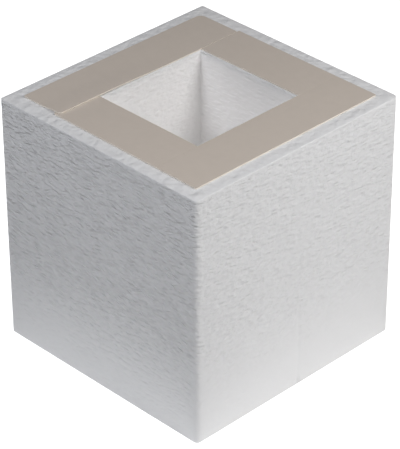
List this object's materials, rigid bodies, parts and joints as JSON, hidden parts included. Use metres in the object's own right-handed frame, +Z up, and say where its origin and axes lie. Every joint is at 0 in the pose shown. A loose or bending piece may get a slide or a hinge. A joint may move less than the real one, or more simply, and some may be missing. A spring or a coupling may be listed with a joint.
{
  "type": "foam block",
  "caption": "Expanded-polystyrene block with a blind square well in its top and self-adhesive foam tape, liners still on, round the mouth.",
  "frame": {"origin": "centre of the underside of the block", "axes": "+Z up, out of the mouth of the well; +X towards the moulded side with the round upright edges and the parting line; -X towards the trimmed side with the sharp upright edges"},
  "size_m": [0.196, 0.2, 0.2022],
  "materials": {
    "eps_foam": "white moulded expanded polystyrene with a fused bead skin, matte",
    "foam_tape": "cream closed-cell foam carrier, seen at its cut edge, matte",
    "release_liner": "beige siliconised paper, soft sheen"
  },
  "bodies": {
    "root": {"foam_block": "eps_foam", "tape_left": "foam_tape", "tape_right": "foam_tape", "tape_front": "foam_tape", "tape_back": "foam_tape", "liner_left": "release_liner", "liner_right": "release_liner", "liner_front": "release_liner", "liner_back": "release_liner"}
  },
  "joints": []
}
